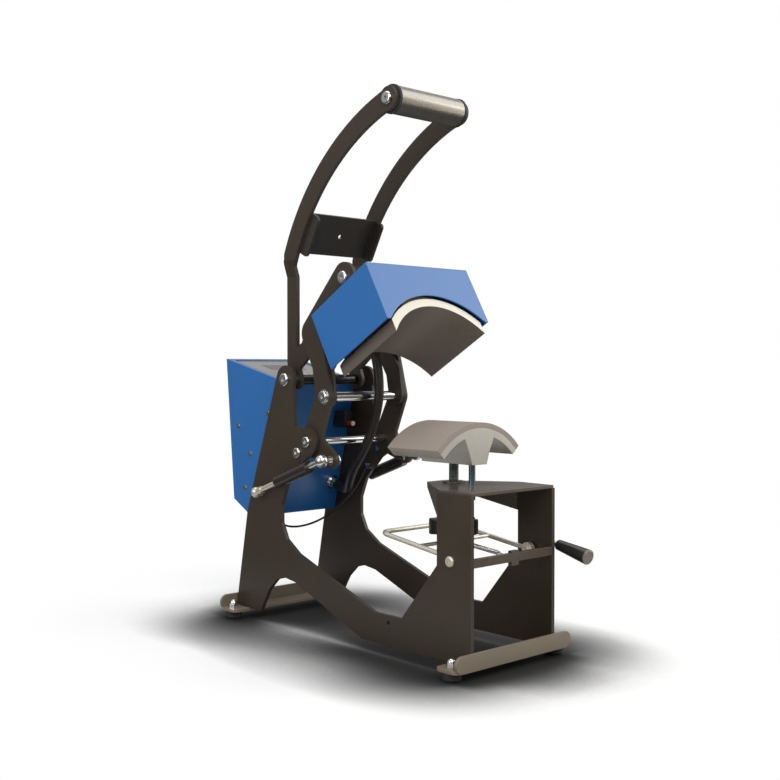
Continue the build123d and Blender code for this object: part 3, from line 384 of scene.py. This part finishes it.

# ---------------------------------------------------------------- painted plate frame, arms, links and handle
# Laser-cut mild steel plate, stoved in a dark brown-black paint; its cut edges are a little paler, partly
# thinner paint and partly a painted highlight. The folded foot bars and top plate get lighter copies of the
# paint, painted light for their lit faces, and the tubes are sprayed glossier.


def edge_paint_and_highlight(material, axis, colour, amount=1.0, roughness=0.3):
    """Lighten a plate's cut faces, as thinner paint and a painted highlight: those whose own normal is square
    to the plate's thickness axis.
    """
    tree = material.node_tree
    shader = tree.nodes["Principled BSDF"]
    normal = tree.nodes.new("ShaderNodeTexCoord").outputs["Normal"]
    along = tree.nodes.new("ShaderNodeVectorMath")
    along.operation = "DOT_PRODUCT"
    along.inputs[1].default_value = axis
    tree.links.new(normal, along.inputs[0])
    flat = maths(tree, "ABSOLUTE", along.outputs["Value"])
    ramp = tree.nodes.new("ShaderNodeMapRange")
    ramp.interpolation_type = "SMOOTHSTEP"
    ramp.inputs["From Min"].default_value = 0.3
    ramp.inputs["From Max"].default_value = 0.8
    ramp.inputs["To Min"].default_value = amount
    ramp.inputs["To Max"].default_value = 0.0
    tree.links.new(flat, ramp.inputs["Value"])
    broken = noise(tree, tree.nodes.new("ShaderNodeTexCoord").outputs["Object"], 60.0, 4.0)
    share = maths(tree, "MULTIPLY", ramp.outputs["Result"], maths(tree, "ADD", 0.45, broken), clamp=True)
    base = shader.inputs["Base Color"].links[0].from_socket
    tree.links.new(tint(tree, share, base, (*colour, 1.0)), shader.inputs["Base Color"])
    return material


# the cut edges' colour is partly thin paint and partly a painted highlight on the arris
DARK = (0.042, 0.0305, 0.0205)
EDGE_PAINT_AND_HIGHLIGHT = (0.046, 0.037, 0.029)
plate_paint = finish("frame_stove_paint", DARK, 0.38, size=1400.0, speckle=0.25, mottle=0.25, bump=0.00006,
                     round_edge=0.0006, specular=0.35)
edge_paint_and_highlight(plate_paint, (1.0, 0.0, 0.0), EDGE_PAINT_AND_HIGHLIGHT)
dress(plate_paint, "side_plate_left", "side_plate_right", "press_arm_left", "press_arm_right",
      "toggle_link_left", "toggle_link_right", "handle_arm_left", "handle_arm_right")
# painted light: a lighter copy of the frame paint that stands in for the light on the foot bars' lit faces
bar_paint_lit_copy = finish("bar_stove_paint_painted_light", (0.22, 0.178, 0.132), 0.34, size=1400.0, speckle=0.25, mottle=0.25,
                   bump=0.00006, round_edge=0.0007)
dress(bar_paint_lit_copy, "foot_bars")
brace_paint = finish("brace_stove_paint", (0.032, 0.026, 0.02), 0.34, size=1400.0, speckle=0.25,
                     mottle=0.25, bump=0.00006, round_edge=0.0007)
dress(brace_paint, "handle_brace", "head_saddle")
# painted light: a lighter copy of the frame paint for the top plate's lit top, also given to the cross bar
top_paint_lit_copy = finish("top_stove_paint_painted_light", (0.078, 0.062, 0.045), 0.3, size=1400.0, speckle=0.25, mottle=0.35,
                   bump=0.00006, round_edge=0.0007)
dress(top_paint_lit_copy, "top_plate", "cross_bar")
tube_paint = finish("tube_black", (0.012, 0.011, 0.011), 0.22, size=1400.0, speckle=0.2, mottle=0.2,
                    bump=0.00004)
dress(tube_paint, "handle_tube", "crank_pins")

# ---------------------------------------------------------------- blue sheet covers
# The hood over the heated platen, the control box and the small cover over the heater's terminals are
# folded 1.5 to 2 mm sheet, sprayed a mid blue with the fine orange peel of a spray coat.
blue = finish("blue_spray_paint", (0.013, 0.122, 0.37), 0.3, size=420.0, speckle=0.05, mottle=0.1,
              bump=0.00005, round_edge=0.0016, coat=0.6)
blue.node_tree.nodes["Principled BSDF"].inputs["Coat Roughness"].default_value = 0.3
dress(blue, "hood", "control_box", "terminal_cover")
panel_paint = finish("panel_film", (0.24, 0.225, 0.20), 0.24, size=900.0, speckle=0.04, mottle=0.05,
                     round_edge=0.0004)
dress(panel_paint, "control_panel")
button_skin = finish("button_caps", (0.36, 0.37, 0.38), 0.45, size=1200.0, speckle=0.08, mottle=0.08)
dress(button_skin, "button_1", "button_2", "button_3")

# ---------------------------------------------------------------- display window and controller board
# A smoked acrylic window lies over the display, and the controller behind it is a green lacquered board
# on stand-offs inside the box.
glass = finish("smoked_window", (0.010, 0.008, 0.010), 0.08, size=60.0, speckle=0.0, mottle=0.05, coat=0.6)
dress(glass, "display_window")
board_green = finish("board_lacquer", (0.02, 0.12, 0.05), 0.4, size=700.0, speckle=0.6, mottle=0.5)
dress(board_green, "controller_board")

# ---------------------------------------------------------------- bright plated steel
# Bolts, studs and shafts are nickel-chrome plated steel, with the faint rub marks of handled plating. The
# bail, its lever and the gas rods are duller zinc, the guide pin is ground steel, the box's screws brass.
chrome = finish("bright_plating", (0.80, 0.79, 0.76), 0.13, metallic=1.0, size=260.0, speckle=0.12,
                mottle=0.22, round_edge=0.0004)
dress(chrome, "frame_bolts", "gas_studs", "tail_studs", "toggle_rod", "head_pivot_bolts", "foot_nuts",
      "grip_spindle", "cable_fittings", "pivot_shafts")
zinc = finish("plated_wire", (0.80, 0.74, 0.62), 0.42, metallic=0.85, size=260.0, speckle=0.06,
              mottle=0.08)
dress(zinc, "cap_bail", "lever_rod", "bail_pins", "gas_rod_left", "gas_rod_right")
ground = finish("ground_pin", (0.26, 0.30, 0.34), 0.24, metallic=1.0, size=260.0, speckle=0.06, mottle=0.1)
dress(ground, "guide_pin")
brass = finish("brass_screws", (0.55, 0.43, 0.24), 0.25, metallic=1.0, size=400.0, speckle=0.1, mottle=0.3)
dress(brass, "box_screws")

# ---------------------------------------------------------------- pressure screw
# A 10 mm plated screw whose thread shows as fine rings between the knob and the platen's boss.
thread = finish("screw_thread", (0.30, 0.35, 0.35), 0.28, metallic=1.0, size=300.0, speckle=0.1, mottle=0.2)
tt = thread.node_tree
turns = tt.nodes.new("ShaderNodeTexWave")
turns.wave_type = "BANDS"
turns.bands_direction = "Z"
turns.wave_profile = "SIN"
THREAD_PITCH = 0.002
# a sine wave's scale of 1 is 20 / 2 pi turns a metre
turns.inputs["Scale"].default_value = 2.0 * math.pi / (20.0 * THREAD_PITCH)
wire(tt, (tt.nodes.new("ShaderNodeTexCoord").outputs["Object"], turns.inputs["Vector"]),
     (turns.outputs["Fac"], tt.nodes["relief"].inputs["Height"]))
tt.nodes["relief"].inputs["Strength"].default_value = 0.9
tt.nodes["relief"].inputs["Distance"].default_value = 0.0008
dress(thread, "pressure_screw")

# ---------------------------------------------------------------- black mouldings and rubber
# The pressure knob, inlet, rocker and switch body are moulded black plastic; the feet and the grip's end
# rings are matt black rubber.
moulding = finish("black_moulding", (0.016, 0.015, 0.014), 0.36, size=900.0, speckle=0.2, mottle=0.2,
                  bump=0.00004, round_edge=0.0005)
dress(moulding, "power_inlet", "pressure_knob", "limit_switch")
rocker_skin = finish("rocker_black", (0.02, 0.018, 0.018), 0.24, size=900.0, speckle=0.1, mottle=0.1)
dress(rocker_skin, "power_rocker")
rubber = finish("black_rubber", (0.024, 0.022, 0.02), 0.62, size=1100.0, speckle=0.4, mottle=0.3,
                bump=0.00008)
dress(rubber, "rubber_feet", "grip_rings")

# ---------------------------------------------------------------- gas spring tubes
# Each gas spring's cylinder is black stoved steel; its screwed end and ball socket are bright plated.


def end_band(material, along, start, colour, soft=0.0004, metal=False):
    """Change a piece's colour beyond a plane: where its position along a direction passes start."""
    tree = material.node_tree
    shader = tree.nodes["Principled BSDF"]
    reach = tree.nodes.new("ShaderNodeVectorMath")
    reach.operation = "DOT_PRODUCT"
    reach.inputs[1].default_value = along
    tree.links.new(tree.nodes.new("ShaderNodeTexCoord").outputs["Object"], reach.inputs[0])
    ramp = tree.nodes.new("ShaderNodeMapRange")
    ramp.interpolation_type = "SMOOTHSTEP"
    ramp.inputs["From Min"].default_value = start - soft
    ramp.inputs["From Max"].default_value = start + soft
    tree.links.new(reach.outputs["Value"], ramp.inputs["Value"])
    base = shader.inputs["Base Color"].links[0].from_socket
    tree.links.new(tint(tree, ramp.outputs["Result"], base, (*colour, 1.0)), shader.inputs["Base Color"])
    if metal:
        tree.links.new(ramp.outputs["Result"], shader.inputs["Metallic"])
    return material


GAS_DIR = np.array([0.0, -0.94066, 0.339352])
gas_foot = np.array([0.0, 0.442 - MID, 0.198])
TUBE_REACH = 0.1385      # from the lower ball to where the black cylinder ends
tube_end = float(gas_foot @ GAS_DIR) + TUBE_REACH
gas_skin = finish("gas_tube_stoved", (0.020, 0.016, 0.013), 0.26, size=900.0, speckle=0.2, mottle=0.25)
end_band(gas_skin, tuple(GAS_DIR), tube_end, (0.80, 0.78, 0.73), metal=True)
dress(gas_skin, "gas_tube_left", "gas_tube_right")

# ---------------------------------------------------------------- bail lever's grip
# A tapered black moulded grip pressed on the bail's lever, closed by an end plug a little paler.
lever_skin = finish("lever_moulding", (0.018, 0.016, 0.015), 0.33, size=900.0, speckle=0.2, mottle=0.2,
                    bump=0.00004)
LEVER_TIP = np.array([0.092, -0.044 - MID, 0.1385])
LEVER_ROOT = np.array([0.092, 0.009 - MID, 0.150])
PLUG_LENGTH = 0.0035
grip_dir = (LEVER_TIP - LEVER_ROOT) / np.linalg.norm(LEVER_TIP - LEVER_ROOT)
end_band(lever_skin, tuple(grip_dir), float(LEVER_TIP @ grip_dir) - PLUG_LENGTH, (0.17, 0.145, 0.12))
dress(lever_skin, "lever_grip")

# ---------------------------------------------------------------- limit switch's plunger
# A red moulded plunger with a pale worn tip, where the handle's arm strikes it.
plunger_low, plunger_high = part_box("limit_plunger")
plunger_skin = finish("red_plunger_moulding", (0.50, 0.028, 0.022), 0.36, size=900.0, speckle=0.1,
                      mottle=0.15)
WORN_TIP = 0.0022
end_band(plunger_skin, (0.0, -1.0, 0.0), -(plunger_low[1] + WORN_TIP), (0.72, 0.62, 0.55))
dress(plunger_skin, "limit_plunger")

# ---------------------------------------------------------------- roller grip
# A turned steel tube that spins on the handle's spindle, linished round so that its marks run as rings.
grip_steel = finish("linished_grip", (0.40, 0.37, 0.325), 0.3, metallic=1.0, size=80.0, speckle=0.05,
                    mottle=0.1)
gt = grip_steel.node_tree
spread = gt.nodes.new("ShaderNodeVectorMath")
spread.operation = "MULTIPLY"
spread.inputs[1].default_value = (2600.0, 14.0, 14.0)
gt.links.new(gt.nodes.new("ShaderNodeTexCoord").outputs["Object"], spread.inputs[0])
marks = noise(gt, spread.outputs[0], 1.0, 3.0)
wire(gt, (marks, gt.nodes["relief"].inputs["Height"]),
     (maths(gt, "ADD", 0.17, maths(gt, "MULTIPLY", marks, 0.26)),
      gt.nodes["Principled BSDF"].inputs["Roughness"]))
gt.nodes["relief"].inputs["Strength"].default_value = 0.35
gt.nodes["relief"].inputs["Distance"].default_value = 0.00004
dress(grip_steel, "handle_grip")

# ---------------------------------------------------------------- cast aluminium platens
# The lower platen is a sand-cast aluminium saddle with machined ends; the heated one is machined all over,
# its pressing face coated a warm grey-brown and its ends left bright.
cast = finish("cast_aluminium", (0.56, 0.54, 0.48), 0.42, metallic=0.75, size=600.0, speckle=0.22,
              mottle=0.22, bump=0.00012, round_edge=0.0006)
dress(cast, "lower_platen")
coated = finish("platen_coat", (0.125, 0.10, 0.08), 0.45, metallic=0.15, size=700.0, speckle=0.15, mottle=0.2,
                bump=0.00004, round_edge=0.0006)
ct = coated.node_tree
nose = ct.nodes.new("ShaderNodeVectorMath")
nose.operation = "DOT_PRODUCT"
nose.inputs[1].default_value = (0.0, 0.866, -0.5)
ct.links.new(ct.nodes.new("ShaderNodeTexCoord").outputs["Normal"], nose.inputs[0])
bare = ct.nodes.new("ShaderNodeMapRange")
bare.interpolation_type = "SMOOTHSTEP"
bare.inputs["From Min"].default_value = 0.7
bare.inputs["From Max"].default_value = 0.9
ct.links.new(maths(ct, "ABSOLUTE", nose.outputs["Value"]), bare.inputs["Value"])
platen_colour = ct.nodes["Principled BSDF"].inputs["Base Color"]
wire(ct, (tint(ct, bare.outputs["Result"], platen_colour.links[0].from_socket, (0.74, 0.70, 0.60, 1.0)),
          platen_colour))
dress(coated, "heat_platen")

# ---------------------------------------------------------------- silicone pad, heater mat and insulation
# A soft taupe silicone foam pad is glued over the lower platen. The heater is a red-brown silicone mat on
# the back of the upper one, under a bat of pale mineral wool.
pad = finish("silicone_foam", (0.27, 0.225, 0.192), 0.68, size=1600.0, speckle=0.22, mottle=0.12, bump=0.0001,
             round_edge=0.0012)
dress(pad, "silicone_pad")
mat = finish("heater_silicone", (0.075, 0.028, 0.018), 0.55, size=1200.0, speckle=0.15, mottle=0.1,
             bump=0.00006)
dress(mat, "heater_mat")
wool = finish("mineral_wool", (0.55, 0.47, 0.26), 0.9, size=450.0, speckle=0.7, mottle=0.4, bump=0.0006)
dress(wool, "insulation")

# ---------------------------------------------------------------- bail spring
# A close-wound extension spring of plated wire, hooked over the cross bar's tab at the front and round the
# bail's inner rod at the rear. Its middle line runs straight along the spring's axis at both ends and
# circles it TURNS times between, at COIL_R times a smooth step up over EASE and down again; the skin is a
# circle of WIRE_R round that line, square to it.
SPRING_FROM = np.array([0.002, 0.011 - MID, 0.1435])
SPRING_TO = np.array([0.002, 0.11154 - MID, 0.1528])
WIRE_R = 0.00062
WIRE_SIDES = 8
COIL_R = 0.0026
COIL_START, COIL_END = 0.022, 0.0901
TURNS = 46
STEPS_A_TURN = 16
SPRING_LENGTH = 0.0981
END_INSET = 0.002
EASE = 0.003
axis = (SPRING_TO - SPRING_FROM) / np.linalg.norm(SPRING_TO - SPRING_FROM)
side = np.array([1.0, 0.0, 0.0])
over = np.cross(axis, side)
t = np.linspace(0.0, 1.0, TURNS * STEPS_A_TURN + 1)
along = np.concatenate([np.linspace(END_INSET, COIL_START, 24)[:-1], COIL_START + t * (COIL_END - COIL_START),
                        np.linspace(COIL_END, SPRING_LENGTH - END_INSET, 16)[1:]])
turned = 2.0 * np.pi * TURNS * np.clip((along - COIL_START) / (COIL_END - COIL_START), 0.0, 1.0)
ease = np.clip(np.minimum(along - (COIL_START - EASE), (COIL_END + EASE) - along) / EASE, 0.0, 1.0)
out = COIL_R * ease * ease * (3.0 - 2.0 * ease)
middle = (SPRING_FROM + axis * along[:, None] + side * (out * np.cos(turned))[:, None]
          + over * (out * np.sin(turned))[:, None])
way = np.gradient(middle, axis=0)
way = way / np.linalg.norm(way, axis=1, keepdims=True)
first = np.cross(way, axis + 0.3 * side)
first = first / np.linalg.norm(first, axis=1, keepdims=True)
second = np.cross(way, first)
round_wire = np.linspace(0.0, 2.0 * np.pi, WIRE_SIDES + 1)[:-1]
skin = (middle[:, None] + WIRE_R * (np.cos(round_wire)[None, :, None] * first[:, None]
                                    + np.sin(round_wire)[None, :, None] * second[:, None]))
count = len(middle)
i, j = np.meshgrid(np.arange(count - 1), np.arange(WIRE_SIDES), indexing="ij")
a = i * WIRE_SIDES + j
b = i * WIRE_SIDES + (j + 1) % WIRE_SIDES
quads = np.stack([a, b, b + WIRE_SIDES, a + WIRE_SIDES], -1).reshape(-1, 4).tolist()
first_end = list(range(WIRE_SIDES - 1, -1, -1))
last_end = list(range((count - 1) * WIRE_SIDES, count * WIRE_SIDES))
spring_mesh = bpy.data.meshes.new("bail_coil_spring")
spring_mesh.from_pydata(skin.reshape(-1, 3).tolist(), [], quads + [first_end, last_end])
spring_mesh.polygons.foreach_set("use_smooth", [True] * len(spring_mesh.polygons))
spring_mesh.materials.append(chrome)
spring = bpy.data.objects.new("bail_coil_spring", spring_mesh)
bpy.context.scene.collection.objects.link(spring)
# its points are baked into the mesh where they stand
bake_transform(spring)
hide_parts("bail_spring")
